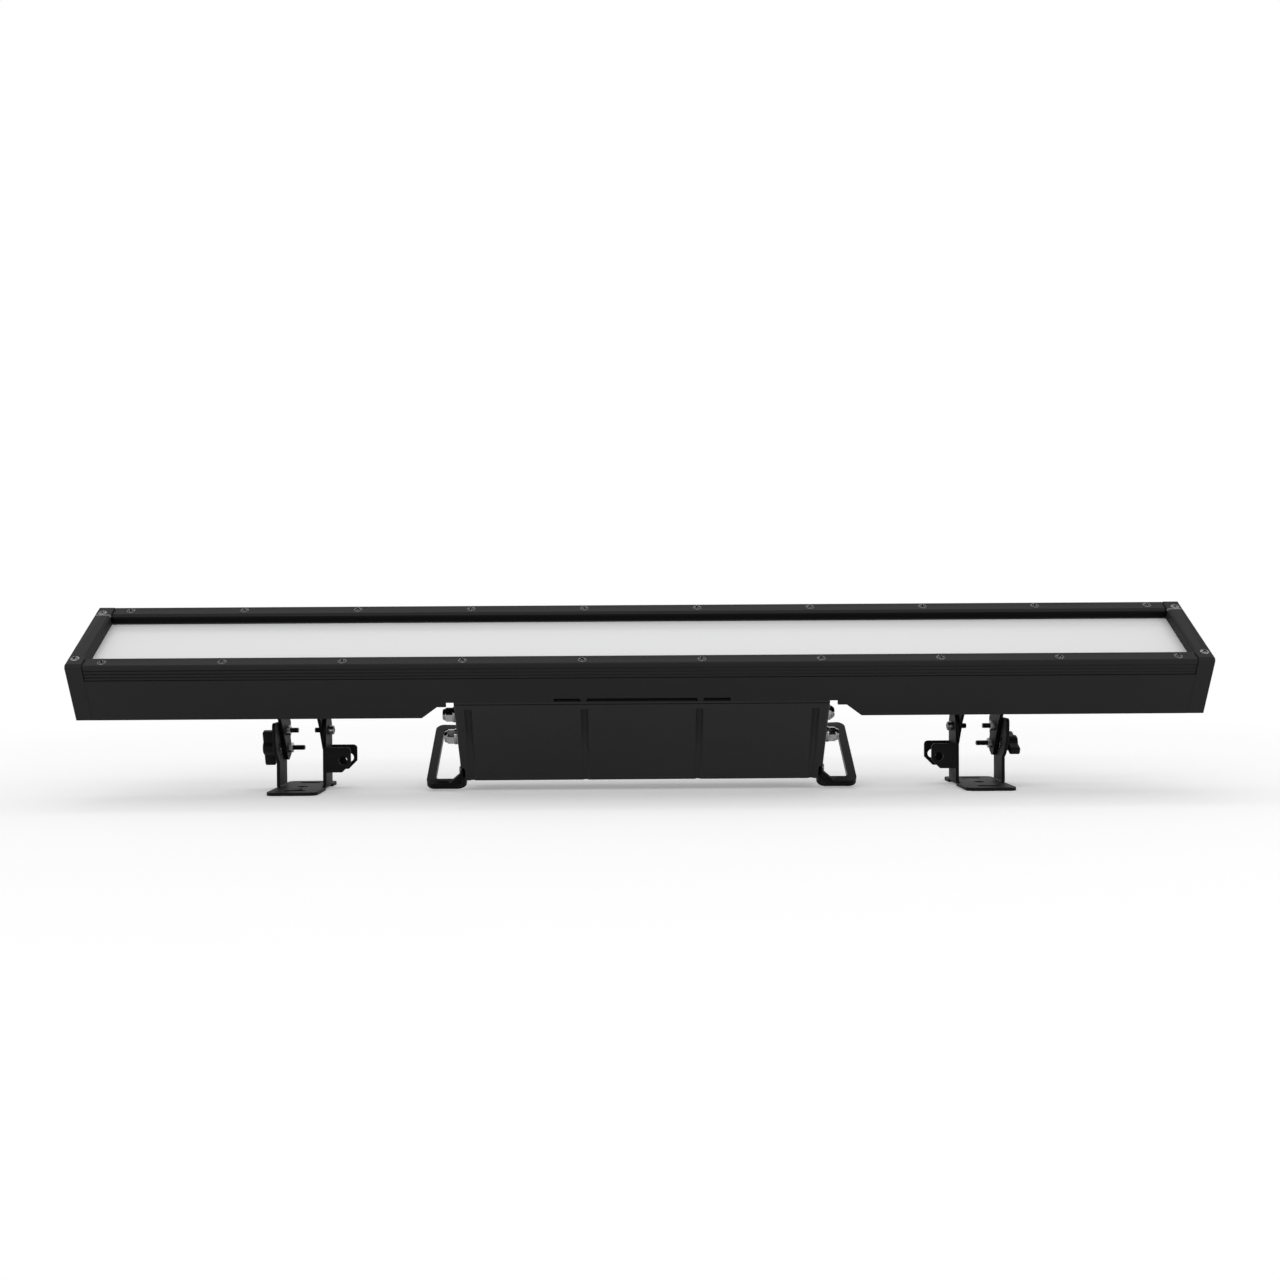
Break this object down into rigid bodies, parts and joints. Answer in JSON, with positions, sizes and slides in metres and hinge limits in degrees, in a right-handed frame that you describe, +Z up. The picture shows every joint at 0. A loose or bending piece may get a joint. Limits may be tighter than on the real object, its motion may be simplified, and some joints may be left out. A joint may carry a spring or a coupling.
{
  "type": "outdoor wall washer light",
  "caption": "Linear outdoor wall washer: long tilting lamp body with a recessed opal window, driver box beneath, cable glands, lifting handles and two folded steel brackets with wing knobs.",
  "frame": {"origin": "floor level under the middle of the lamp, at the centre of the rectangle of the four base plate slots", "axes": "+X along the lamp to its right, +Y from the front to the rear, +Z up; at rest the lamp is tilted 30 degrees towards -Y"},
  "size_m": [1, 0.1502, 0.1695],
  "materials": {
    "black_anodised": "black anodised, satin",
    "black_cast_case": "black powder coat on die-cast aluminium, fine satin",
    "black_handle": "black powder coat, satin",
    "black_steel": "black powder coat on steel, satin",
    "opal_window": "opal acrylic, satin",
    "black_rubber": "matte",
    "black_fasteners": "black oxide",
    "plain_steel": "plain stainless",
    "nickel": "bright nickel plate on brass",
    "knob_plastic": "moulded, fine grain",
    "white_board": "white solder mask",
    "green_board": "green solder mask",
    "led_chips": "phosphor",
    "white_nylon": "moulded nylon",
    "bare_aluminium": "extruded",
    "terminal_green": "moulded",
    "lead_jacket": "matte jacket",
    "ferrite": "ferrite core with taped winding",
    "capacitor_sleeve": "shrink sleeve"
  },
  "bodies": {
    "lamp": {"body_channel": "black_anodised", "diffuser": "opal_window", "diffuser_seal": "black_rubber", "driver_board": "green_board", "driver_capacitors": "capacitor_sleeve", "driver_case": "black_cast_case", "driver_heat_sink": "bare_aluminium", "driver_lid": "black_cast_case", "driver_lid_screws": "plain_steel", "driver_mount_screws": "plain_steel", "driver_seal": "black_rubber", "driver_spacers": "white_nylon", "driver_standoffs": "white_nylon", "driver_terminal": "terminal_green", "driver_transformer": "ferrite", "end_cap_face_screws": "plain_steel", "end_cap_left": "black_anodised", "end_cap_right": "black_anodised", "end_cap_top_screws": "plain_steel", "front_rail": "black_anodised", "front_rail_screws": "black_fasteners", "gland_bodies": "nickel", "gland_cap_nuts": "nickel", "gland_lock_nuts": "nickel", "gland_seals": "black_rubber", "handle_left": "black_handle", "handle_right": "black_handle", "handle_screws": "black_fasteners", "hanger_left": "black_steel", "hanger_nuts": "plain_steel", "hanger_right": "black_steel", "hanger_screws": "plain_steel", "lead_grommet": "black_rubber", "leds": "led_chips", "light_board_screws": "plain_steel", "light_boards": "white_board", "light_connector": "white_nylon", "light_lead": "lead_jacket", "pivot_bolts": "black_fasteners", "pivot_nuts": "black_fasteners", "rear_rail": "black_anodised", "rear_rail_screws": "black_fasteners", "stud_nuts": "black_fasteners", "vent_plug": "nickel"},
    "left_bracket": {"bracket_left": "black_steel"},
    "right_bracket": {"bracket_right": "black_steel"},
    "left_knob": {"knob_left": "knob_plastic", "knob_stud_left": "black_fasteners", "knob_washer_left": "black_fasteners"},
    "right_knob": {"knob_right": "knob_plastic", "knob_stud_right": "black_fasteners", "knob_washer_right": "black_fasteners"}
  },
  "joints": [
    {"name": "left_tilt", "type": "hinge", "parent": "lamp", "child": "left_bracket", "pos_m": [-0.3136, 0.01, 0.0545], "axis": [1, 0, 0], "range_deg": [-18, 78]},
    {"name": "right_tilt", "type": "hinge", "parent": "lamp", "child": "right_bracket", "pos_m": [0.3136, 0.01, 0.0545], "axis": [1, 0, 0], "range_deg": [-18, 78]},
    {"name": "left_knob_turn", "type": "hinge", "parent": "lamp", "child": "left_knob", "pos_m": [-0.3364, 0.01975, 0.03761], "axis": [-1, 0, 0], "range_deg": [0, 270]},
    {"name": "right_knob_turn", "type": "hinge", "parent": "lamp", "child": "right_knob", "pos_m": [0.3364, 0.01975, 0.03761], "axis": [1, 0, 0], "range_deg": [0, 270]}
  ]
}
